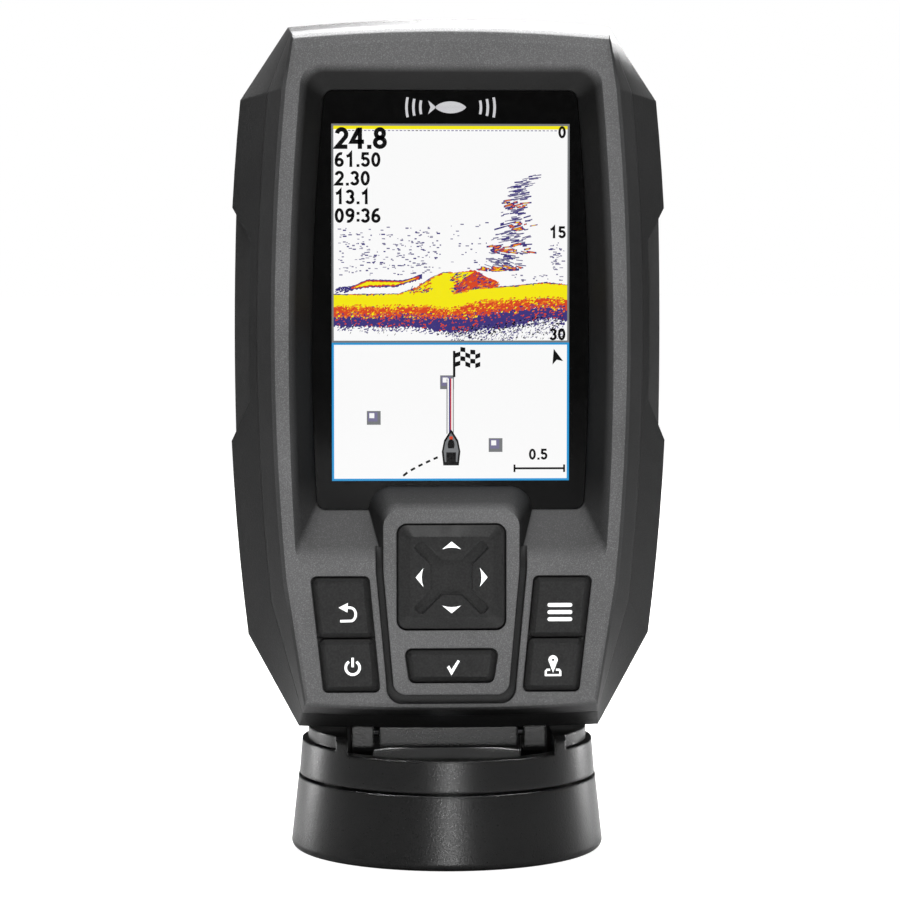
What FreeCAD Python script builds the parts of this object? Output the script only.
"""A portrait fish finder: a handheld-size display head on a round swivel and tilt base.

Row frame, millimetres: +Z up, +X to the right of someone facing the screen, the screen faces -Y.
The origin is the centre of the base's bottom face. The head stands upright at rest.
"""
import FreeCAD, Part
import os
import re
import Sketcher

os.makedirs("parts", exist_ok=True)
doc = FreeCAD.newDocument("FishFinder")
sheet = doc.addObject("Spreadsheet::Sheet", "Dims")

# The head is a ruled skin through three outlines, each at its own depth along Y.
# Corners run top, shoulder, hip, foot; the sides between shoulder and hip are arcs through the belly,
# and the top and foot edges are arcs through their crown on the centre line.
HEAD_OUTLINES = {
    "face": {
        "depth": -22.0, "top_half": 32.6, "top_side": 171.3, "top_crown": 172.8,
        "shoulder_half": 34.1, "shoulder_side": 160.5, "belly_half": 36.5,
        "hip_half": 34.2, "hip_side": 59.0, "foot_half": 30.4, "foot_side": 33.3, "foot_crown": 32.2,
    },
    "waist": {
        "depth": -9.0, "top_half": 33.6, "top_side": 173.7, "top_crown": 175.4,
        "shoulder_half": 43.6, "shoulder_side": 158.5, "belly_half": 46.1,
        "hip_half": 42.3, "hip_side": 46.5, "foot_half": 31.7, "foot_side": 26.9, "foot_crown": 26.3,
    },
    "back": {
        "depth": 13.5, "top_half": 29.5, "top_side": 168.5, "top_crown": 170.0,
        "shoulder_half": 38.8, "shoulder_side": 154.0, "belly_half": 41.5,
        "hip_half": 37.5, "hip_side": 52.0, "foot_half": 27.5, "foot_side": 42.5, "foot_crown": 42.0,
    },
}

# Outlines with rounded corners and bowed sides: the mouth of the screen recess and the lens.
WINDOW_OUTLINES = {
    "mouth": {
        "top_half": 31.1, "top": 165.4, "top_round": 4.5, "mid_half": 33.5,
        "low_half": 32.3, "low": 62.6, "low_round": 3.2,
    },
    "lens": {
        "top_half": 26.3, "top": 160.2, "top_round": 2.0, "mid_half": 28.7,
        "low_half": 27.9, "low": 73.3, "low_round": 2.0,
    },
}

# The island is the raised panel that carries the direction pad: its face, and its wider foot at the lens.
ISLAND_OUTLINES = {
    "island_face": {
        "flat_half": 10.6, "top": 73.6, "side_half": 14.1, "side_top": 70.1, "side_low": 61.0,
        "taper_half": 12.1, "taper_low": 38.0, "foot_half": 9.6, "foot": 35.1,
    },
    "island_root": {
        "flat_half": 12.2, "top": 78.2, "side_half": 17.0, "side_top": 73.2, "side_low": 61.0,
        "taper_half": 14.6, "taper_low": 38.0, "foot_half": 11.0, "foot": 34.6,
    },
}

DIMENSIONS = {
    # Head shell
    "belly_height": 112.0, "parting_depth": -17.0, "parting_gap": 0.3, "wall": 2.4, "back_wall": 2.4,
    "spigot_end": -14.7, "grip_thick": 2.6, "spigot_play": 0.2, "face_round": 1.0, "top_round": 1.9,
    # Grip notches in the flanks: a steep side wall behind a ridge, with slanted ends
    "ridge_half": 41.4, "ridge_depth": -14.7, "grip_reach": 60.0, "grip_slope": 0.34,
    "grip_top_inner": 129.3, "grip_top_outer": 136.6, "grip_low_inner": 96.5, "grip_low_outer": 87.4,
    "grip_outer_half": 45.6,
    # Screen
    "lens_front": -18.0, "lens_thick": 1.5, "glue_thick": 0.25, "window_mid": 115.0,
    "screen_half": 24.65, "screen_low": 79.4, "screen_high": 153.3, "window_margin": 0.9,
    "panel_half": 27.2, "panel_low": 76.5, "panel_high": 157.5, "panel_thick": 1.55,
    "guide_thick": 1.4, "tray_front": -14.6, "tray_back": -10.0, "tray_wall": 0.5,
    # Face plate, island groove and the space behind the keys
    "plate_back": -19.6, "groove_floor": -20.6, "groove_top": 66.0, "groove_half_top": 15.7,
    "groove_half_low": 13.5, "groove_low": 37.0, "groove_foot_half": 10.6, "groove_foot": 33.2,
    "bay_half_top": 31.0, "bay_half_low": 28.4, "bay_top": 61.2, "bay_low": 34.6,
    "bay_neck_half": 12.4, "bay_neck_top": 71.6,
    # Side keys: two share each slanted opening, and a gap splits them
    "side_inner_top": 17.0, "side_outer_top": 29.3, "side_inner_low": 14.7, "side_outer_low": 26.6,
    "side_top": 59.9, "side_low": 35.6, "side_split": 46.9, "side_round": 1.2,
    "key_play": 0.35, "key_front": -22.5, "key_bevel": 1.1, "key_corner": 1.3, "flange_lip": 0.55,
    "flange_front": -19.5,
    "flange_back": -18.7, "plunger_radius": 1.5, "plunger_end": -10.35, "plunger_play": 0.3,
    "side_plunger_upper": 22.1, "side_plunger_lower": 20.7, "upper_plunger_height": 52.3,
    "lower_plunger_height": 41.1,
    # Enter key
    "enter_half_top": 9.9, "enter_half_low": 8.8, "enter_top": 44.8, "enter_low": 37.5, "enter_round": 1.5,
    # Direction pad
    "pad_half": 11.4, "pad_top": 70.8, "pad_low": 48.5, "pad_round": 2.2, "pad_front": -22.9,
    "pad_edge": -21.7, "pad_back": -19.9, "mesa_inset": 2.4, "pad_height": 59.65,
    "well_half": 4.3, "well_tall": 3.6, "well_floor": -21.8, "slot_reach": 7.1, "slot_half": 1.15,
    "ball_depth": -18.9, "ball_radius": 1.7, "ball_play": 0.06, "socket_radius": 3.4, "socket_back": -18.6,
    "stem_radius": 0.8, "stem_end": -17.1, "pad_plunger_radius": 1.2, "pad_plunger_arm": 8.0,
    # Keypad stack and boards
    "mat_front": -17.9, "mat_back": -17.0, "backing_back": -15.9, "stack_play": 0.25,
    "board_front": -9.2, "board_back": -7.6, "board_half": 29.0, "board_low": 44.0, "board_high": 165.0,
    "board_low_half": 25.0, "board_foot": 38.0,
    "dome_radius": 2.4, "dome_tall": 0.4,
    "board_screw_half": 26.5, "board_screw_low": 48.5, "board_screw_high": 161.5,
    "standoff_radius": 2.6, "small_head_radius": 2.2, "small_head_tall": 1.2, "small_shank_radius": 1.0,
    "small_shank_end": -1.0, "thread_play": 0.02,
    # Case screws
    "case_screw_radius": 1.1, "case_head_radius": 2.4, "case_head_tall": 1.8, "case_seat": 10.4,
    "case_screw_end": -18.6, "case_boss_radius": 3.2, "case_hole_play": 0.15, "recess_play": 0.3,
    "case_high_half": 33.0, "case_high": 157.0, "case_mid_half": 35.0, "case_low_half": 33.8,
    "case_low": 66.5,
    "seal_front": -16.3, "seal_back": -15.3, "seal_depth": 0.9, "seal_play": 0.1,
    # Board parts
    "shield_half": 13.0, "shield_low": 84.0, "shield_high": 108.0, "shield_tall": 3.0,
    "antenna_half": 9.0, "antenna_low": 138.0, "antenna_tall": 4.0,
    "transformer_half": 7.0, "transformer_left": -15.0, "transformer_low": 114.0, "transformer_tall": 11.0,
    "capacitor_radius": 4.0, "capacitor_tall": 10.0, "capacitor_left": 12.0, "capacitor_low": 120.0,
    "capacitor_pitch": 10.0, "buzzer_radius": 6.0, "buzzer_tall": 4.0, "buzzer_low": 58.0,
    "buzzer_side": -16.0, "ribbon_half": 8.0, "ribbon_low": 72.0, "ribbon_high": 90.0,
    "chip_half": 6.0, "chip_thick": 1.2,
    "vent_radius": 3.2, "vent_height": 140.0, "vent_thick": 0.3,
    # Power and transducer connector on the back
    "socket_height": 88.0, "plug_radius": 7.5, "plug_bore": 6.2, "plug_end": 19.0, "plug_flange": 9.5,
    "plug_flange_end": 15.5, "plug_neck": 6.8, "plug_inner_end": 5.5, "insert_front": 12.0,
    "contact_radius": 0.75, "contact_circle": 2.9, "contact_end": 17.6, "contact_tail": 2.5,
    "seal_ring_thick": 0.8, "nut_radius": 9.4, "nut_front": 8.0,
    # Base and swivel
    "base_radius": 33.3, "base_swell": 1.5, "base_foot_radius": 32.0, "seam_radius": 31.8, "base_top": 15.4,
    "base_wall": 2.8, "base_deck_top": 12.6, "base_deck_low": 9.6, "hub_radius": 5.0, "hub_play": 0.05,
    "bolt_circle": 22.0, "bolt_hole": 2.2, "bolt_boss": 5.0, "bolt_sink": 4.2, "bolt_sink_deep": 2.0,
    "skirt_low": 16.0, "skirt_radius": 31.6, "skirt_top_radius": 30.9, "skirt_top": 26.0,
    "skirt_round": 1.6, "rim_top": 22.5, "plug_disc_radius": 28.6, "plug_disc_low": 13.0,
    "pocket_radius": 27.8, "pocket_floor": 16.6, "channel_half": 21.5,
    "finger_low": 23.2, "finger_high": 27.0, "finger_radius": 29.7, "finger_half": 24.0,
    "friction_inner": 6.0, "friction_outer": 16.0, "washer_play": 0.03,
    "pivot_head_radius": 4.2, "pivot_head_low": 15.0, "pivot_radius": 2.5, "pivot_end": 3.6,
    "hub_end": 9.5, "retainer_radius": 9.0, "retainer_thick": 1.2, "pivot_nut": 4.0,
    "pivot_nut_tall": 3.2,
    # Tilt hinge, cradle and release latch
    "tilt_depth": 3.0, "tilt_height": 22.5, "pin_radius": 2.5, "pin_play": 0.05, "pin_outer": 27.0,
    "cheek_inner": 15.9, "cheek_outer": 20.6, "cheek_front": -10.0, "cheek_low": 21.5, "barrel_radius": 4.9,
    "cheek_rear": 12.0, "cheek_rear_low": 33.0, "bridge_front": -1.0, "bridge_rear": 13.0,
    "bridge_thick": 3.2, "hinge_washer_radius": 4.6, "hinge_washer_play": 0.05,
    "latch_half": 14.7, "latch_front": -8.0, "latch_thick": 1.7, "latch_low": 21.9, "latch_high": 26.6,
    "latch_pin_depth": -4.6, "latch_pin_height": 25.0, "latch_pin_radius": 1.0, "latch_pin_half": 17.6,
    "latch_barrel": 1.9, "latch_barrel_half": 5.0, "spring_wire": 0.25, "spring_pitch": 0.8,
    "spring_radius": 1.45, "spring_start": 6.0, "spring_turns": 7.0,
}


def fill_sheet():
    """Puts every driving dimension in the spreadsheet as a plain number with an alias."""
    cells = dict(DIMENSIONS)
    for group in (HEAD_OUTLINES, WINDOW_OUTLINES, ISLAND_OUTLINES):
        for outline, sizes in group.items():
            for name, value in sizes.items():
                cells[f"{outline}_{name}"] = value
    for row, (name, value) in enumerate(cells.items(), 1):
        sheet.set(f"A{row}", name)
        sheet.set(f"B{row}", str(value))
        sheet.setAlias(f"B{row}", name)
    doc.recompute()


fill_sheet()


# ---------------------------------------------------------------------------------------------
# Small vocabulary for parametric solids. Sizes are written as expressions on the sheet's aliases.
# ---------------------------------------------------------------------------------------------
MATHS = {"sqrt", "sin", "cos", "tan", "deg"}
ROUND = "0.29289"  # how far a quarter arc's middle stands in from its square corner, per unit radius
PLANES = {"x": "YZ_Plane", "y": "XZ_Plane", "z": "XY_Plane"}
TURNS = {"x": ((0, 1, 0), 90), "y": ((1, 0, 0), -90), "z": ((0, 0, 1), 0)}
nodes = []


def expression(text):
    """Turns "wall + lens_thick" into "Dims.wall + Dims.lens_thick"."""
    return re.sub(r"[a-z][a-z_]+", lambda m: m[0] if m[0] in MATHS else f"Dims.{m[0]}", str(text))


def number(text):
    return float(sheet.evalExpression(expression(text)))


def bind(item, prop, text):
    item.setExpression(prop, expression(text))


def add(kind, label):
    item = doc.addObject(kind, label)
    item.Label = label
    return item


def node(item, label):
    """Names a finished sub-part; its label is also its file's name."""
    item.Label = label
    nodes.append(item)
    return item


def box(label, x, y, z):
    """A block between (low, high) pairs along each axis."""
    item = add("Part::Box", label)
    for prop, axis, (low, high) in zip(("Length", "Width", "Height"), "xyz", (x, y, z)):
        bind(item, prop, f"({high}) - ({low})")
        bind(item, f"Placement.Base.{axis}", low)
    return item


def stand(item, axis, at, low):
    """Turns an item that grows along Z so that it grows along the axis from low."""
    direction, angle = TURNS[axis]
    item.Placement.Rotation = FreeCAD.Rotation(FreeCAD.Vector(*direction), angle)
    others = iter(at)
    for name in "xyz":
        bind(item, f"Placement.Base.{name}", low if name == axis else next(others))


def rod(label, axis, at, radius, low, high):
    """A cylinder along axis from low to high; at gives the other two coordinates in X, Y, Z order."""
    item = add("Part::Cylinder", label)
    bind(item, "Radius", radius)
    bind(item, "Height", f"({high}) - ({low})")
    stand(item, axis, at, low)
    return item


def hexagon(label, axis, at, radius, low, high):
    """A hexagonal bar along the axis, sized by the radius to its corners."""
    item = add("Part::Prism", label)
    item.Polygon = 6
    bind(item, "Circumradius", radius)
    bind(item, "Height", f"({high}) - ({low})")
    stand(item, axis, at, low)
    return item


def fuse(label, *items):
    item = add("Part::MultiFuse", label)
    item.Shapes = list(items)
    return item


def cut(label, base, *tools):
    item = add("Part::Cut", label)
    item.Base = base
    item.Tool = tools[0] if len(tools) == 1 else fuse(label + "_tools", *tools)
    return item


def common(label, one, two):
    item = add("Part::Common", label)
    item.Base = one
    item.Tool = two
    return item


def group(label, items):
    """Several separate solids under one name, such as a set of identical screws."""
    item = add("Part::Compound", label)
    item.Links = list(items)
    return item


def mirror(label, source):
    """The same piece on the other side of the centre plane."""
    item = add("Part::Mirroring", label)
    item.Source = source
    item.Normal = FreeCAD.Vector(1, 0, 0)
    return item


def edges_where(shape, test):
    return [i for i, edge in enumerate(shape.Edges, 1) if test(edge)]


def dress(kind, label, base, size, test):
    """Part::Fillet or Part::Chamfer of the base's edges that pass the test."""
    doc.recompute()
    item = add(kind, label)
    item.Base = base
    item.Edges = [(i, number(size), number(size)) for i in edges_where(base.Shape, test)]
    return item


def in_plane(axis, value):
    """An edge test: the whole edge lies at this height along the axis."""
    where = number(value)
    return lambda edge: all(abs(getattr(v.Point, axis) - where) < 1e-4 for v in edge.Vertexes) and abs(
        getattr(edge.CenterOfMass, axis) - where) < 1e-4


def runs_along(axis, corner=None):
    """An edge test: straight along the axis and, if a corner is given, at that X, Z place."""
    def test(edge):
        direction = edge.Vertexes[-1].Point - edge.Vertexes[0].Point
        if direction.Length < 1e-6 or abs(getattr(direction, axis)) / direction.Length < 0.999:
            return False
        middle = edge.CenterOfMass
        return corner is None or (abs(middle.x - corner[0]) < 0.1 and abs(middle.z - corner[1]) < 0.1)
    return test


def sketch(body, label, axis, offset, path):
    """A closed sketch across the axis at an offset along it.

    The path lists corners as (first, second) expressions. A third item is a point that the edge
    leaving this corner passes through, which makes that edge an arc.
    """
    item = body.newObject("Sketcher::SketchObject", label)
    plane = next(f for f in body.Origin.OriginFeatures if f.Role == PLANES[axis])
    item.AttachmentSupport = [(plane, "")]
    item.MapMode = "FlatFace"
    bind(item, "AttachmentOffset.Base.z", f"-({offset})" if axis == "y" else offset)
    corners = [FreeCAD.Vector(number(p[0]), number(p[1]), 0) for p in path]
    count = len(path)
    for i, point in enumerate(path):
        following = corners[(i + 1) % count]
        if len(point) == 3:
            via = FreeCAD.Vector(number(point[2][0]), number(point[2][1]), 0)
            item.addGeometry(Part.Arc(corners[i], via, following), False)
        else:
            item.addGeometry(Part.LineSegment(corners[i], following), False)
    starts = [1 if item.getPoint(i, 1).distanceToPoint(corners[i]) < 1e-6 else 2 for i in range(count)]
    for i in range(count):
        following = (i + 1) % count
        item.addConstraint(Sketcher.Constraint("Coincident", i, 3 - starts[i], following, starts[following]))
    for i, point in enumerate(path):
        hold(item, i, starts[i], point, corners[i])
        if len(point) == 3:
            via = FreeCAD.Vector(number(point[2][0]), number(point[2][1]), 0)
            marker = item.addGeometry(Part.Point(via), True)
            hold(item, marker, 1, point[2], via)
            item.addConstraint(Sketcher.Constraint("PointOnObject", marker, 1, i))
    return item


def hold(item, geometry, end, point, where):
    """Fixes one sketch point with two dimensions bound to the sheet."""
    for kind, text, value in (("DistanceX", point[0], where.x), ("DistanceY", point[1], where.y)):
        index = item.addConstraint(Sketcher.Constraint(kind, -1, 1, geometry, end, value))
        bind(item, f"Constraints[{index}]", text)


def loft(label, sections):
    """A ruled solid through (depth, path) sections stacked along Y."""
    body = add("PartDesign::Body", label)
    drawn = [sketch(body, f"{label}_at_{i}", "y", depth, path) for i, (depth, path) in enumerate(sections)]
    feature = body.newObject("PartDesign::AdditiveLoft", label + "_loft")
    feature.Profile = drawn[0]
    feature.Sections = [(item, [""]) for item in drawn[1:]]
    feature.Ruled = True
    return body


def prism(label, axis, low, high, path):
    """A straight solid between low and high along the axis, padded from one sketch."""
    body = add("PartDesign::Body", label)
    drawn = sketch(body, label + "_outline", axis, high if axis == "y" else low, path)
    feature = body.newObject("PartDesign::Pad", label + "_pad")
    feature.Profile = drawn
    bind(feature, "Length", f"({high}) - ({low})")
    return body


def turned(label, path):
    """A solid of revolution about Z; the path lists (radius, height) corners."""
    body = add("PartDesign::Body", label)
    drawn = sketch(body, label + "_profile", "y", "0", path)
    feature = body.newObject("PartDesign::Revolution", label + "_turn")
    feature.Profile = drawn
    feature.ReferenceAxis = (drawn, ["V_Axis"])
    feature.Angle = 360
    return body


def rectangle(x, y):
    """The path of a rectangle between (low, high) pairs."""
    return [(x[0], y[0]), (x[1], y[0]), (x[1], y[1]), (x[0], y[1])]


def both_sides(right):
    """Closes a path that is given on the right side, from top to bottom, with its mirror image."""
    def flip(point):
        return (f"-({point[0]})", point[1])
    left = []
    for i in range(len(right) - 1, -1, -1):
        arrival = right[i - 1][2] if i > 0 and len(right[i - 1]) == 3 else None
        left.append(flip(right[i]) + ((flip(arrival),) if arrival else ()))
    return right + left


# ---------------------------------------------------------------------------------------------
# Outlines that several sub-parts share
# ---------------------------------------------------------------------------------------------
def head_path(size, inset="0"):
    """The head's outline from a function that gives each of its sizes, drawn in by an inset."""
    def corner(name, sideways, upward):
        return (f"{size(name + '_half')} - {sideways} * ({inset})",
                f"{size(name + '_side')} + {upward} * ({inset})")
    belly = (f"{size('belly_half')} - ({inset})", "belly_height")
    foot = ("0", f"{size('foot_crown')} + ({inset})")
    crown = ("0", f"{size('top_crown')} - ({inset})")
    path = both_sides([corner("top", 0.54, -1), corner("shoulder", 1, -0.31) + (belly,),
                       corner("hip", 1, 0.25), corner("foot", 0.58, 1) + (foot,)])
    path[-1] = path[-1][:2] + (crown,)
    return path


def outline(key):
    return lambda name: f"{key}_{name}"


def between(depth):
    """Sizes of the head's outline at a depth between the face and the waist."""
    share = f"({depth} - face_depth) / (waist_depth - face_depth)"
    return lambda name: f"(face_{name} + (waist_{name} - face_{name}) * {share})"


def rounded_front(share_out, share_back):
    """One section of the bezel's rounded front edge; the top edge is rounded more than the sides."""
    depth = f"(face_depth + {share_back} * face_round)"
    plain = between(depth)

    def size(name):
        lowered = name in ("top_side", "top_crown")
        return f"({plain(name)} - {share_out} * top_round)" if lowered else plain(name)
    return depth, head_path(size, f"{share_out} * face_round")


def window_path(key, inset="0"):
    """A rounded outline with bowed sides, drawn in by an inset."""
    def corner(half, height, radius, sense):
        half, height = f"({key}_{half} - ({inset}))", f"({key}_{height} - {sense} * ({inset}))"
        radius = f"{key}_{radius}"
        beside = (half, f"{height} - {sense} * {radius}")
        across = (f"{half} - {radius}", height)
        via = (f"{half} - {ROUND} * {radius}", f"{height} - {sense} * {ROUND} * {radius}")
        return beside, across, via
    high_beside, high_across, high_via = corner("top_half", "top", "top_round", 1)
    low_beside, low_across, low_via = corner("low_half", "low", "low_round", -1)
    belly = (f"{key}_mid_half - ({inset})", "window_mid")
    return both_sides([high_across + (high_via,), high_beside + (belly,), low_beside + (low_via,),
                       low_across])


def island_path(key):
    """The island's outline: a flat top, rounded shoulders, and sides that taper towards the foot."""
    def size(name):
        return f"{key}_{name}"
    shoulder = (f"{size('side_half')} - {ROUND} * ({size('side_half')} - {size('flat_half')})",
                f"{size('top')} - {ROUND} * ({size('top')} - {size('side_top')})")
    toe = (f"{size('taper_half')} - {ROUND} * ({size('taper_half')} - {size('foot_half')})",
           f"{size('foot')} + {ROUND} * ({size('taper_low')} - {size('foot')})")
    return both_sides([(size("flat_half"), size("top"), shoulder), (size("side_half"), size("side_top")),
                       (size("side_half"), size("side_low")), (size("taper_half"), size("taper_low"), toe),
                       (size("foot_half"), size("foot"))])


def side_key_path(top, low, grow="0"):
    """A slanted key outline on the right side between two heights, widened by grow."""
    def edge(name, height, sense):
        slant = f"({name}_top - {name}_low) / (side_top - side_low)"
        return f"{name}_low + {slant} * ({height} - side_low) + {sense} * ({grow})"
    return [(edge("side_inner", low, -1), low), (edge("side_outer", low, 1), low),
            (edge("side_outer", top, 1), top), (edge("side_inner", top, -1), top)]


def enter_path(grow="0"):
    return both_sides([(f"enter_half_top + ({grow})", f"enter_top + ({grow})"),
                       (f"enter_half_low + ({grow})", f"enter_low - ({grow})")])


def rounded_rectangle(half, low, high, radius):
    """A rounded rectangle that is symmetric about the centre plane."""
    inner = f"{half} - ({radius})"
    high_via = (f"{half} - {ROUND} * ({radius})", f"{high} - {ROUND} * ({radius})")
    low_via = (f"{half} - {ROUND} * ({radius})", f"{low} + {ROUND} * ({radius})")
    return both_sides([(inner, high, high_via), (half, f"{high} - ({radius})"),
                       (half, f"{low} + ({radius})", low_via), (inner, low)])


# ---------------------------------------------------------------------------------------------
# Places and depths that repeat
# ---------------------------------------------------------------------------------------------
KEY_PLUNGERS = [
    ("side_plunger_upper", "upper_plunger_height"), ("-side_plunger_upper", "upper_plunger_height"),
    ("side_plunger_lower", "lower_plunger_height"), ("-side_plunger_lower", "lower_plunger_height"),
    ("0", "lower_plunger_height"),
]
PAD_PLUNGERS = [
    ("pad_plunger_arm", "pad_height"), ("-pad_plunger_arm", "pad_height"),
    ("0", "pad_height + pad_plunger_arm"), ("0", "pad_height - pad_plunger_arm"),
]
CASE_SCREWS = [(f"{side} * {half}", height) for side in (1, -1) for half, height in (
    ("case_high_half", "case_high"), ("case_mid_half", "belly_height"), ("case_low_half", "case_low"))]
BOARD_SCREWS = [(f"{side} * board_screw_half", height) for side in (1, -1)
                for height in ("board_screw_low", "board_screw_high")]
BOLTS = [(f"{across} * bolt_circle * sqrt(0.5)", f"{along} * bolt_circle * sqrt(0.5)")
         for across in (1, -1) for along in (1, -1)]
FRONT = "face_depth"
LENS_BACK = "lens_front + lens_thick"
POCKET_BACK = "lens_front + lens_thick + glue_thick"
BEZEL_END = "parting_depth - parting_gap / 2"
CASE_START = "parting_depth + parting_gap / 2"
parting = between("parting_depth")
TILT = ("tilt_depth", "tilt_height")
LATCH_PIN = ("latch_pin_depth", "latch_pin_height")


def rods(label, axis, places, radius, low, high):
    return [rod(f"{label}_{i}", axis, at, radius, low, high) for i, at in enumerate(places)]


def ring(label, axis, at, outer, inner, low, high):
    return cut(label, rod(label + "_disc", axis, at, outer, low, high),
               rod(label + "_hole", axis, at, inner, f"{low} - 1", f"{high} + 1"))


# ---------------------------------------------------------------------------------------------
# Head: bezel, case, lens
# ---------------------------------------------------------------------------------------------
def display_window(label):
    return box(label, ("-(screen_half + window_margin)", "screen_half + window_margin"),
               ("lens_front", "spigot_end + 1"),
               ("screen_low - window_margin", "screen_high + window_margin"))


def island(label):
    return loft(label, [(FRONT, island_path("island_face")), ("lens_front", island_path("island_root")),
                        (POCKET_BACK, island_path("island_root"))])


def island_groove():
    """The narrow channel between the island and the face, open at the top where the ramp begins."""
    via = (f"groove_half_low - {ROUND} * (groove_half_low - groove_foot_half)",
           f"groove_foot + {ROUND} * (groove_low - groove_foot)")
    outer = prism("groove_outer", "y", f"{FRONT} - 1", "groove_floor", both_sides([
        ("groove_half_top", "groove_top"), ("groove_half_top", "island_face_side_low"),
        ("groove_half_low", "groove_low", via), ("groove_foot_half", "groove_foot")]))
    inner = prism("groove_inner", "y", f"{FRONT} - 2", "groove_floor + 1", island_path("island_face"))
    return cut("groove", outer, inner)


def side_opening():
    raw = prism("side_opening_raw", "y", f"{FRONT} - 1", "plate_back + 1",
                side_key_path("side_top", "side_low"))
    return dress("Part::Fillet", "side_opening", raw, "side_round", runs_along("y"))


def enter_opening():
    raw = prism("enter_opening_raw", "y", f"{FRONT} - 1", "plate_back + 1", enter_path())
    return dress("Part::Fillet", "enter_opening", raw, "enter_round", runs_along("y"))


def key_bay(label, front, back, play="0"):
    """The T-shaped space behind the face plate, or a layer that fills it with some play."""
    wide = prism(label + "_wide", "y", front, back, both_sides([
        (f"bay_half_top - ({play})", f"bay_top - ({play})"),
        (f"bay_half_low - ({play})", f"bay_low + ({play})")]))
    neck = box(label + "_neck", (f"-(bay_neck_half - ({play}))", f"bay_neck_half - ({play})"), (front, back),
               ("bay_low + 5", f"bay_neck_top - ({play})"))
    return fuse(label, wide, neck)


def seal_ring(label, outer, inner, low, high):
    """A ring that follows the head's outline at the parting, between two insets."""
    return cut(label, prism(label + "_outer", "y", low, high, head_path(parting, outer)),
               prism(label + "_inner", "y", f"{low} - 1", f"{high} + 1", head_path(parting, inner)))


def front_bezel():
    skin = loft("bezel_skin", [rounded_front("1", "0"), rounded_front(ROUND, ROUND), rounded_front("0", "1"),
                               (BEZEL_END, head_path(parting))])
    spigot = prism("bezel_spigot", "y", BEZEL_END, "spigot_end", head_path(parting, "wall + spigot_play"))
    recess = loft("screen_recess", [(FRONT, window_path("mouth")), ("lens_front", window_path("lens")),
                                    (POCKET_BACK, window_path("lens"))])
    body = cut("bezel_recessed", fuse("bezel_blank", skin, spigot), recess)
    body = fuse("bezel_with_island", body, island("bezel_island"))
    side = side_opening()
    holes = rods("bezel_pilot", "y", CASE_SCREWS, "case_screw_radius + thread_play",
                 "case_screw_end - 0.5", "spigot_end + 1")
    pad = prism("pad_opening", "y", f"{FRONT} - 1", "plate_back + 1",
                rounded_rectangle("pad_half", "pad_low", "pad_top", "pad_round"))
    groove = seal_ring("bezel_seal_groove", "wall - 1", "wall + spigot_play + seal_depth",
                       "seal_front", "seal_back")
    return cut("front_bezel", body, island_groove(), side, mirror("side_opening_left", side), enter_opening(),
               pad, key_bay("bay", "plate_back", "spigot_end + 1"), display_window("bezel_window"), groove,
               *holes)


def case_skin(label):
    return loft(label, [(CASE_START, head_path(parting)), ("waist_depth", head_path(outline("waist"))),
                        ("back_depth", head_path(outline("back")))])


def slim_waist(name):
    """The waist outline for the cavity, drawn in behind the grip notches."""
    return "(waist_belly_half - grip_thick)" if name == "belly_half" else f"waist_{name}"


def grip_notch():
    """A notch in the right flank: in front view a trapezium, in plan view a steep wall behind a ridge."""
    front = prism("notch_front", "y", "face_depth", "grip_reach", [
        ("ridge_half", "grip_low_inner"), ("grip_outer_half", "grip_low_outer"),
        ("grip_reach", "grip_low_outer"), ("grip_reach", "grip_top_outer"),
        ("grip_outer_half", "grip_top_outer"), ("ridge_half", "grip_top_inner")])
    plan = prism("notch_plan", "z", "grip_low_outer - 1", "grip_top_outer + 1", [
        ("ridge_half", "ridge_depth"), ("grip_reach", "ridge_depth"),
        ("grip_reach", "ridge_depth + (grip_reach - ridge_half) / grip_slope")])
    return common("grip_notch", front, plan)


def rear_case():
    skin = case_skin("case_skin")
    cavity = loft("case_cavity", [
        (CASE_START, head_path(parting, "wall")), ("waist_depth", head_path(slim_waist, "wall")),
        ("back_depth - back_wall", head_path(outline("back"), "wall"))])
    posts = rods("case_boss", "y", CASE_SCREWS, "case_boss_radius", "spigot_end + 0.05", "back_depth")
    posts += rods("standoff", "y", BOARD_SCREWS, "standoff_radius", "board_back", "back_depth")
    posts = common("case_posts", fuse("case_posts_raw", *posts), case_skin("case_limit"))
    body = fuse("case_body", cut("case_shell", skin, cavity), posts)
    notch = grip_notch()
    holes = rods("case_hole", "y", CASE_SCREWS, "case_screw_radius + case_hole_play",
                 "spigot_end - 1", "case_seat + 0.1")
    holes += rods("case_recess", "y", CASE_SCREWS, "case_head_radius + recess_play", "case_seat",
                  "back_depth + 5")
    holes += rods("standoff_hole", "y", BOARD_SCREWS, "small_shank_radius + thread_play",
                  "board_back - 1", "small_shank_end + 0.5")
    holes.append(rod("plug_hole", "y", ("0", "socket_height"), "plug_neck + hub_play",
                     "back_depth - 5", "back_depth + 5"))
    holes.append(rod("vent_seat", "y", ("0", "vent_height"), "vent_radius + hub_play",
                     "back_depth - vent_thick", "back_depth + 5"))
    holes.append(rod("vent_hole", "y", ("0", "vent_height"), "vent_radius / 4", "back_depth - 5",
                     "back_depth"))
    return cut("rear_case", body, notch, mirror("grip_notch_left", notch), *holes)


def lens_parts():
    lens = cut("display_lens", prism("lens_blank", "y", "lens_front", LENS_BACK, window_path("lens", "0.1")),
               island("lens_notch"))
    glue = cut("lens_adhesive", prism("glue_blank", "y", LENS_BACK, POCKET_BACK, window_path("lens", "0.6")),
               display_window("glue_window"), island("glue_notch"))
    node(lens, "display_lens")
    node(glue, "lens_adhesive")


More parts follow.
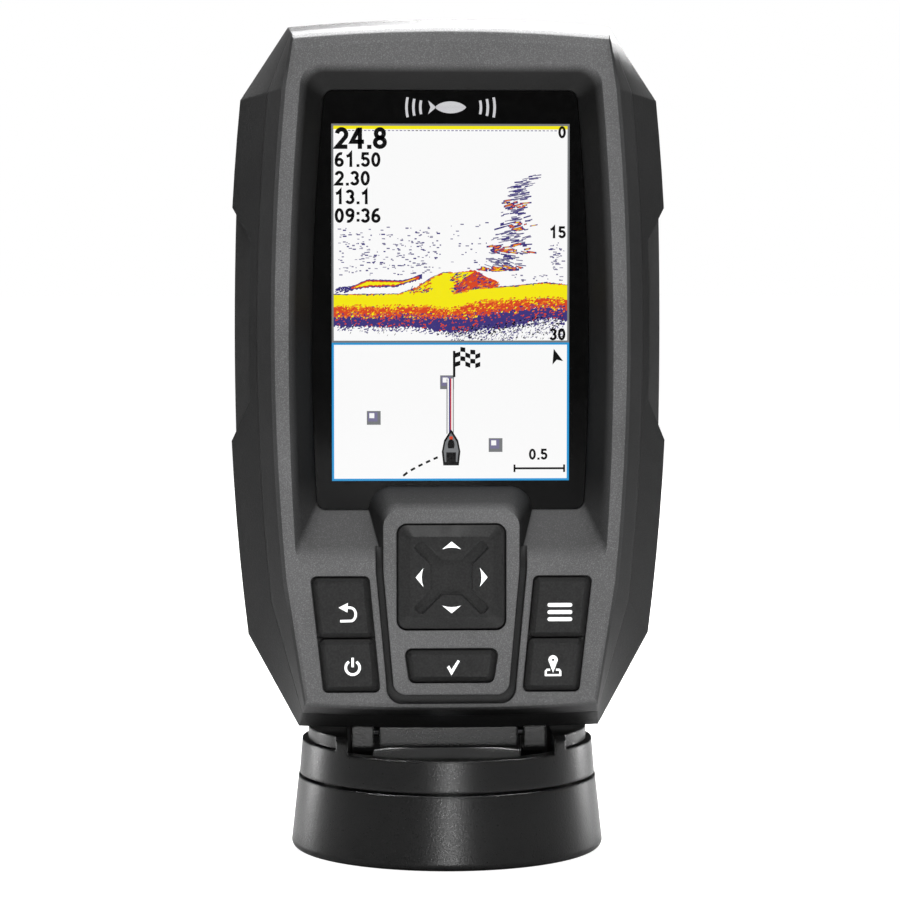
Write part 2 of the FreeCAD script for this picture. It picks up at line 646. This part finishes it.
def display_parts():
    """The panel and its light guide, held in a thin metal tray behind the bezel's window."""
    panel_front = "tray_front + 0.05"
    panel_back = f"{panel_front} + panel_thick"
    guide_front = f"{panel_back} + 0.05"
    wide = ("-panel_half", "panel_half")
    tall = ("panel_low", "panel_high")
    node(box("lcd_panel", wide, (panel_front, panel_back), tall), "lcd_panel")
    node(box("light_guide", wide, (guide_front, f"{guide_front} + guide_thick"), tall), "light_guide")
    around = "tray_wall + 0.1"
    outer = box("tray_block", (f"-(panel_half + {around})", f"panel_half + {around}"),
                ("tray_front", "tray_back"),
                (f"panel_low - ({around})", f"panel_high + {around}"))
    inner = box("tray_hollow", ("-(panel_half + 0.1)", "panel_half + 0.1"),
                ("tray_front - 1", f"{guide_front} + guide_thick + 0.05"),
                ("panel_low - 0.1", "panel_high + 0.1"))
    node(cut("lcd_tray", outer, inner), "lcd_tray")
    strip = box("ribbon_strip", ("-ribbon_half", "ribbon_half"), ("tray_back + 0.05", "tray_back + 0.25"),
                ("ribbon_low", "ribbon_high"))
    plug = box("ribbon_plug", ("-(ribbon_half + 1)", "ribbon_half + 1"), ("tray_back + 0.05", "board_front"),
               ("ribbon_low", "ribbon_low + 4"))
    node(fuse("lcd_ribbon", strip, plug), "lcd_ribbon")


# ---------------------------------------------------------------------------------------------
# Keypad
# ---------------------------------------------------------------------------------------------
def bevelled_cap(label, path, corner):
    raw = prism(label + "_block", "y", "key_front", "flange_front", path)
    rounded = dress("Part::Fillet", label + "_rounded", raw, corner, runs_along("y"))
    return dress("Part::Chamfer", label + "_bevelled", rounded, "key_bevel", in_plane("y", "key_front"))


def key(label, cap_path, flange_path, corner, plunger):
    """A key: a bevelled cap, a flange that keeps it behind the face plate and a plunger for its switch."""
    cap = bevelled_cap(label, cap_path, corner)
    flange = prism(label + "_flange", "y", "flange_front", "flange_back", flange_path)
    stem = rod(label + "_plunger", "y", plunger, "plunger_radius", "flange_back", "plunger_end")
    return fuse(label, cap, flange, stem)


def side_keys():
    upper_low = "side_split + key_play / 2"
    lower_top = "side_split - key_play / 2"
    upper = key("menu_key", side_key_path("side_top - key_play", upper_low, "-key_play"),
                side_key_path("side_top + flange_lip", upper_low, "flange_lip"), "key_corner",
                KEY_PLUNGERS[0])
    lower = key("mark_key", side_key_path(lower_top, "side_low + key_play", "-key_play"),
                side_key_path(lower_top, "side_low - flange_lip", "flange_lip"), "key_corner",
                KEY_PLUNGERS[2])
    node(mirror("back_key", upper), "back_key")
    node(mirror("power_key", lower), "power_key")
    node(upper, "menu_key")
    node(lower, "mark_key")


def enter_key():
    return key("enter_key", enter_path("-key_play"), enter_path("flange_lip"), "key_corner",
               KEY_PLUNGERS[4])


def direction_pad():
    """A rocking cap with a sunken cross, on a ball that lets it tilt about X and about Z."""
    half, low, high = "pad_half - key_play", "pad_low + key_play", "pad_top - key_play"
    edge = rounded_rectangle(half, low, high, "pad_round - key_play")
    mesa = rounded_rectangle(f"{half} - mesa_inset", f"{low} + mesa_inset", f"{high} - mesa_inset",
                             "pad_round / 2")
    slope = loft("pad_slope", [("pad_front", mesa), ("pad_edge", edge)])
    block = prism("pad_block", "y", "pad_edge", "pad_back", edge)
    socket = rod("pad_socket", "y", ("0", "pad_height"), "socket_radius", "pad_back - 0.5", "socket_back")
    stems = rods("pad_plunger", "y", PAD_PLUNGERS, "pad_plunger_radius", "pad_back", "plunger_end")
    well = box("pad_well", ("-well_half", "well_half"), ("pad_front - 1", "well_floor"),
               ("pad_height - well_tall", "pad_height + well_tall"))
    side = "slot_half * sqrt(0.5)"
    inner, outer = f"slot_reach - {side}", f"slot_reach + {side}"
    slot = prism("pad_slot_raw", "y", "pad_front - 1", "well_floor", [
        (f"-({outer})", f"pad_height - ({inner})"), (f"-({inner})", f"pad_height - ({outer})"),
        (outer, f"pad_height + {inner}"), (inner, f"pad_height + {outer}")])
    slot = dress("Part::Fillet", "pad_slot", slot, "slot_half * 0.7", runs_along("y"))
    room = ball("pad_socket_room", "ball_radius + ball_play")
    return cut("dpad_cap", fuse("pad_body", slope, block, socket, *stems), well, slot,
               mirror("pad_slot_left", slot), room)


def ball(label, radius):
    item = add("Part::Sphere", label)
    bind(item, "Radius", radius)
    bind(item, "Placement.Base.y", "ball_depth")
    bind(item, "Placement.Base.z", "pad_height")
    return item


def dpad_pivot():
    stem = rod("pivot_stem", "y", ("0", "pad_height"), "stem_radius", "ball_depth", "stem_end")
    return fuse("dpad_pivot", ball("pivot_ball", "ball_radius"), stem)


def keypad_layers():
    """The rubber web and the stiff plate behind it, with a clearance hole at each plunger."""
    for label, front, back in (("keypad_mat", "mat_front", "mat_back"),
                               ("keypad_backing", "mat_back", "backing_back")):
        sheet_of_bay = key_bay(label + "_blank", front, back, "stack_play")
        low, high = f"{front} - 1", f"{back} + 1"
        holes = rods(label + "_key_hole", "y", KEY_PLUNGERS, "plunger_radius + plunger_play", low, high)
        holes += rods(label + "_pad_hole", "y", PAD_PLUNGERS, "pad_plunger_radius + plunger_play + 0.2",
                      low, high)
        if label == "keypad_mat":
            holes.append(rod("mat_pivot_hole", "y", ("0", "pad_height"), "ball_radius + plunger_play", low,
                             high))
        node(cut(label, sheet_of_bay, *holes), label)


# ---------------------------------------------------------------------------------------------
# Boards, parts on them and screws
# ---------------------------------------------------------------------------------------------
def screw(label, axis, at, head, shank, head_span, shank_low):
    """A pan-head screw: its head spans head_span, its shank starts at shank_low. It has a cross recess."""
    low, high = head_span
    body = fuse(label + "_body", rod(label + "_head", axis, at, head, low, high),
                rod(label + "_shank", axis, at, shank, shank_low, low))
    half, arm = f"{head} / 8", f"{head} * 0.6"
    top = (f"{high} - ({high} - ({low})) * 0.5", f"{high} + 1")
    slots = []
    for i, (wide, tall) in enumerate(((arm, half), (half, arm))):
        spans = [(f"{at[0]} - {wide}", f"{at[0]} + {wide}"), (f"{at[1]} - {tall}", f"{at[1]} + {tall}")]
        spans.insert("xyz".index(axis), top)
        slots.append(box(f"{label}_slot_{i}", *spans))
    return cut(label, body, *slots)


def case_screws():
    return group("case_screws", [
        screw(f"case_screw_{i}", "y", at, "case_head_radius", "case_screw_radius",
              ("case_seat", "case_seat + case_head_tall"), "case_screw_end")
        for i, at in enumerate(CASE_SCREWS)])


def board_screw(label, at):
    """A screw driven from the front, so its head lies in front of the board."""
    head = rod(label + "_head", "y", at, "small_head_radius", "board_front - small_head_tall", "board_front")
    shank = rod(label + "_shank", "y", at, "small_shank_radius", "board_front", "small_shank_end")
    slot = box(label + "_slot", (f"{at[0]} - small_head_radius / 2", f"{at[0]} + small_head_radius / 2"),
               ("board_front - small_head_tall - 1", "board_front - small_head_tall / 2"),
               (f"{at[1]} - small_head_radius / 8", f"{at[1]} + small_head_radius / 8"))
    return cut(label, fuse(label + "_body", head, shank), slot)


def main_board():
    depth = ("board_front", "board_back")
    blank = fuse("board_blank",
                 box("board_upper", ("-board_half", "board_half"), depth, ("board_low", "board_high")),
                 box("board_lower", ("-board_low_half", "board_low_half"), depth,
                     ("board_foot", "board_low + 1")))
    holes = rods("board_hole", "y", BOARD_SCREWS, "small_shank_radius + thread_play",
                 "board_front - 1", "board_back + 1")
    return cut("main_board", blank, *holes)


def board_components():
    """Parts on the main board: switches in front, and the radio, sonar and power parts behind."""
    node(group("dome_switches", rods("dome", "y", KEY_PLUNGERS + PAD_PLUNGERS, "dome_radius",
                                     "board_front - dome_tall", "board_front")), "dome_switches")
    can = box("shield_outer", ("-shield_half", "shield_half"), ("board_back", "board_back + shield_tall"),
              ("shield_low", "shield_high"))
    hollow = box("shield_inner", ("-(shield_half - 0.3)", "shield_half - 0.3"),
                 ("board_back - 1", "board_back + shield_tall - 0.3"),
                 ("shield_low + 0.3", "shield_high - 0.3"))
    node(cut("shield_can", can, hollow), "shield_can")
    node(box("processor", ("-chip_half", "chip_half"), ("board_back", "board_back + chip_thick"),
             ("shield_low + chip_half", "shield_low + 3 * chip_half")),
         "processor")
    node(box("gps_antenna", ("-antenna_half", "antenna_half"), ("board_back", "board_back + antenna_tall"),
             ("antenna_low", "antenna_low + 2 * antenna_half")), "gps_antenna")
    middle = ("transformer_left + transformer_half", "transformer_low + transformer_half")
    core = box("transformer_core", ("transformer_left", "transformer_left + 2 * transformer_half"),
               ("board_back", "board_back + transformer_tall * 0.3"),
               ("transformer_low", "transformer_low + 2 * transformer_half"))
    coil = rod("transformer_coil", "y", middle, "transformer_half * 0.9", "board_back",
               "board_back + transformer_tall")
    node(fuse("sonar_transformer", core, coil), "sonar_transformer")
    node(group("capacitors", rods("capacitor", "y", [
        ("capacitor_left", "capacitor_low"), ("capacitor_left", "capacitor_low + capacitor_pitch")],
        "capacitor_radius", "board_back", "board_back + capacitor_tall")), "capacitors")
    node(rod("piezo_buzzer", "y", ("buzzer_side", "buzzer_low"), "buzzer_radius", "board_back",
             "board_back + buzzer_tall"), "piezo_buzzer")


# ---------------------------------------------------------------------------------------------
# Connector and vent on the back
# ---------------------------------------------------------------------------------------------
def connector_parts():
    at = ("0", "socket_height")
    flange_start = "back_depth + seal_ring_thick"
    shell = fuse("plug_solid",
                 rod("plug_flange_disc", "y", at, "plug_flange", flange_start, "plug_flange_end"),
                 rod("plug_collar", "y", at, "plug_radius", "plug_flange_end", "plug_end"),
                 rod("plug_neck_tube", "y", at, "plug_neck", "plug_inner_end", flange_start))
    bore = rod("plug_bore_room", "y", at, "plug_bore", "plug_inner_end - 1", "plug_end + 1")
    node(cut("power_connector", shell, bore), "power_connector")
    contacts = [(f"{a} * contact_circle * sqrt(0.5)", f"socket_height + {b} * contact_circle * sqrt(0.5)")
                for a in (1, -1) for b in (1, -1)]
    insert = rod("insert_disc", "y", at, "plug_bore - 0.05", "plug_inner_end + 1", "insert_front")
    holes = rods("insert_hole", "y", contacts, "contact_radius + thread_play", "plug_inner_end",
                 "insert_front + 1")
    node(cut("connector_insert", insert, *holes), "connector_insert")
    node(group("connector_pins",
               rods("contact", "y", contacts, "contact_radius", "contact_tail", "contact_end")),
         "connector_pins")
    node(ring("connector_seal", "y", at, "plug_flange - 0.3", "plug_neck + hub_play", "back_depth",
              flange_start),
         "connector_seal")
    nut = hexagon("connector_nut_blank", "y", at, "nut_radius", "nut_front", "back_depth - back_wall")
    hole = rod("connector_nut_hole", "y", at, "plug_neck + thread_play", "nut_front - 1", "back_depth")
    node(cut("connector_nut", nut, hole), "connector_nut")
    node(rod("vent_membrane", "y", ("0", "vent_height"), "vent_radius", "back_depth - vent_thick",
             "back_depth"),
         "vent_membrane")


# ---------------------------------------------------------------------------------------------
# Base, swivel, tilt cradle and latch
# ---------------------------------------------------------------------------------------------
def swivel_base():
    inner, hole = "seam_radius - base_wall", "hub_radius + hub_play"
    swell = (f"base_radius - {ROUND} * (base_radius - base_foot_radius)", f"{ROUND} * base_swell")
    shell = turned("base_shell", [
        ("base_foot_radius", "0", swell), ("base_radius", "base_swell"), ("seam_radius", "base_top"),
        (inner, "base_top"), (inner, "base_deck_top"), (hole, "base_deck_top"), (hole, "base_deck_low"),
        (inner, "base_deck_low"), ("base_foot_radius - base_wall", "0")])
    bosses = rods("bolt_boss", "z", BOLTS, "bolt_boss", "0", "base_deck_low + 1")
    holes = rods("bolt_hole", "z", BOLTS, "bolt_hole", "-1", "base_deck_top + 1")
    holes += rods("bolt_sink", "z", BOLTS, "bolt_sink", "base_deck_top - bolt_sink_deep", "base_deck_top + 1")
    return cut("swivel_base", fuse("base_body", shell, *bosses), *holes)


def finger_groove():
    """A recess under the rim of the right shoulder, for the fingers that turn the swivel."""
    band = ring("finger_band", "z", ("0", "0"), "base_radius + 5", "finger_radius", "finger_low",
                "finger_high")
    side = box("finger_side", ("finger_half", "base_radius + 5"), ("-base_radius", "base_radius"),
               ("finger_low - 1", "finger_high + 1"))
    return common("finger_groove", band, side)


def swivel_top():
    via = (f"skirt_top_radius - {ROUND} * skirt_round", f"skirt_top - {ROUND} * skirt_round")
    blank = turned("swivel_blank", [
        ("0", "hub_end"), ("hub_radius", "hub_end"), ("hub_radius", "plug_disc_low"),
        ("plug_disc_radius", "plug_disc_low"), ("plug_disc_radius", "skirt_low"),
                                    ("skirt_radius", "skirt_low"),
        ("skirt_top_radius", "skirt_top - skirt_round", via), ("skirt_top_radius - skirt_round", "skirt_top"),
        ("0", "skirt_top")])
    across, along = ("-channel_half", "channel_half"), ("-base_radius - 5", "base_radius + 5")
    channel = box("swivel_channel", across, along, ("rim_top", "skirt_top + 1"))
    pocket = common("swivel_pocket", box("pocket_block", across, along, ("pocket_floor", "skirt_top + 1")),
                    rod("pocket_round", "z", ("0", "0"), "pocket_radius", "pocket_floor", "skirt_top + 1"))
    groove = finger_groove()
    pin = rod("pin_hole", "x", TILT, "pin_radius + thread_play", "channel_half - 1", "pin_outer")
    bore = rod("pivot_hole", "z", ("0", "0"), "pivot_radius + thread_play", "hub_end - 1", "skirt_top")
    sink = rod("pivot_sink", "z", ("0", "0"), "pivot_head_radius + recess_play", "pivot_head_low",
               "skirt_top")
    return cut("swivel_top", blank, channel, pocket, groove, mirror("finger_groove_left", groove),
               pin, mirror("pin_hole_left", pin), bore, sink)


def pivot_parts():
    """The screw, washers and nut that hold the swivel on the base and set its friction."""
    centre = ("0", "0")
    node(screw("pivot_screw", "z", centre, "pivot_head_radius", "pivot_radius",
               ("pivot_head_low", "pocket_floor - 0.2"), "pivot_end"), "pivot_screw")
    retainer_low = "hub_end - retainer_thick"
    node(ring("retaining_washer", "z", centre, "retainer_radius", "pivot_radius + thread_play",
              retainer_low, "hub_end"), "retaining_washer")
    nut = hexagon("pivot_nut_blank", "z", centre, "pivot_nut", f"{retainer_low} - pivot_nut_tall",
                  retainer_low)
    hole = rod("pivot_nut_hole", "z", centre, "pivot_radius + thread_play", "0", "hub_end")
    node(cut("pivot_nut", nut, hole), "pivot_nut")
    node(ring("friction_washer", "z", centre, "friction_outer", "friction_inner",
              "base_deck_top + washer_play",
              "plug_disc_low - washer_play"), "friction_washer")


def tilt_parts():
    pin = rod("hinge_pin", "x", TILT, "pin_radius", "cheek_inner + 0.1", "pin_outer")
    node(group("hinge_pins", [pin, mirror("hinge_pin_left", pin)]), "hinge_pins")
    washer = ring("hinge_washer", "x", TILT, "hinge_washer_radius", "pin_radius + thread_play",
                  "cheek_outer + hinge_washer_play", "channel_half - hinge_washer_play")
    node(group("hinge_washers", [washer, mirror("hinge_washer_left", washer)]), "hinge_washers")


def cradle():
    """Two cheeks joined by a plate that lies against the head's sloping underside."""
    cheek = prism("cheek_plate", "x", "cheek_inner", "cheek_outer", [
        ("cheek_front", "cheek_low"), ("tilt_depth", "cheek_low"), ("tilt_depth + barrel_radius",
                                                                    "tilt_height"),
        ("cheek_rear", "cheek_rear_low"), ("cheek_rear", "cheek_rear_low + 14"),
                                                                     ("cheek_front", "cheek_low + 10")])
    barrel = rod("cheek_barrel", "x", TILT, "barrel_radius", "cheek_inner", "cheek_outer")
    slope = "(back_foot_crown - waist_foot_crown) / (back_depth - waist_depth)"

    def underside(depth, below):
        return f"waist_foot_crown + {slope} * ({depth} - waist_depth) - ({below})"
    bridge = prism("bridge", "x", "-cheek_inner - 1", "cheek_inner + 1", [
        ("bridge_front", underside("bridge_front", "bridge_thick")),
        ("bridge_rear", underside("bridge_rear", "bridge_thick")),
        ("bridge_rear", underside("bridge_rear", "-4")), ("bridge_front", underside("bridge_front", "-4"))])
    right = fuse("cheek", cheek, barrel)
    body = fuse("cradle_body", right, mirror("cheek_left", right), bridge)
    span = ("-cheek_outer - 1", "cheek_outer + 1")
    return cut("cradle", body, case_skin("cradle_limit"),
               rod("cradle_bore", "x", TILT, "pin_radius + pin_play", *span),
               rod("latch_pin_bore", "x", LATCH_PIN, "latch_pin_radius + thread_play",
                   "-latch_pin_half", "latch_pin_half"))


def latch_parts():
    plate = box("latch_plate", ("-latch_half", "latch_half"), ("latch_front", "latch_front + latch_thick"),
                ("latch_low", "latch_high"))
    web = box("latch_web", ("-latch_barrel_half", "latch_barrel_half"),
              ("latch_front + 1", "latch_pin_depth"),
              ("latch_pin_height - 1", "latch_pin_height + 1"))
    barrel = rod("latch_barrel_round", "x", LATCH_PIN, "latch_barrel", "-latch_barrel_half",
                 "latch_barrel_half")
    bore = rod("latch_bore", "x", LATCH_PIN, "latch_pin_radius + pin_play", "-latch_half", "latch_half")
    node(cut("release_latch", fuse("latch_body", plate, web, barrel), bore), "release_latch")
    node(rod("latch_pin", "x", LATCH_PIN, "latch_pin_radius", "-latch_pin_half", "latch_pin_half"),
         "latch_pin")
    node(latch_spring(), "latch_spring")


def latch_spring():
    """A close coil around the latch pin, swept along a helix."""
    coil = add("Part::Helix", "spring_path")
    bind(coil, "Pitch", "spring_pitch")
    bind(coil, "Height", "spring_pitch * spring_turns")
    bind(coil, "Radius", "spring_radius")
    wire = add("Part::Circle", "spring_section")
    bind(wire, "Radius", "spring_wire")
    wire.Placement.Rotation = FreeCAD.Rotation(FreeCAD.Vector(1, 0, 0), 90)
    bind(wire, "Placement.Base.x", "spring_radius")
    item = add("Part::Sweep", "latch_spring")
    doc.recompute()
    item.Sections = [wire]
    item.Spine = (coil, [f"Edge{i + 1}" for i in range(len(coil.Shape.Edges))])
    item.Solid = True
    item.Frenet = True
    item.Placement.Rotation = FreeCAD.Rotation(FreeCAD.Vector(0, 1, 0), 90)
    for axis, place in zip("xyz", ("spring_start",) + LATCH_PIN):
        bind(item, f"Placement.Base.{axis}", place)
    return item


def build():
    node(swivel_base(), "swivel_base")
    node(swivel_top(), "swivel_top")
    pivot_parts()
    tilt_parts()
    node(cradle(), "cradle")
    latch_parts()
    node(front_bezel(), "front_bezel")
    node(rear_case(), "rear_case")
    node(seal_ring("case_seal", "wall + seal_play", "wall + spigot_play + seal_depth", "seal_front",
                   "seal_back"),
         "case_seal")
    node(case_screws(), "case_screws")
    lens_parts()
    display_parts()
    side_keys()
    node(enter_key(), "enter_key")
    node(direction_pad(), "dpad_cap")
    node(dpad_pivot(), "dpad_pivot")
    keypad_layers()
    node(main_board(), "main_board")
    node(group("board_screws", [board_screw(f"board_screw_{i}", at) for i, at in enumerate(BOARD_SCREWS)]),
         "board_screws")
    board_components()
    connector_parts()


def check_and_export():
    doc.recompute()
    failed = [item.Label for item in doc.Objects if "Invalid" in item.State or "Error" in item.State]
    if failed:
        raise RuntimeError(f"these objects failed: {failed}")
    for item in nodes:
        if item.Shape.isNull() or not item.Shape.isValid() or not item.Shape.Solids:
            raise RuntimeError(f"{item.Label} has no valid solid")
    for item in nodes:
        item.Shape.exportStep(f"parts/{item.Label}.step")
        print(f"{item.Label:20s} {len(item.Shape.Solids)} solids {item.Shape.Volume:10.2f} mm3")


build()
check_and_export()
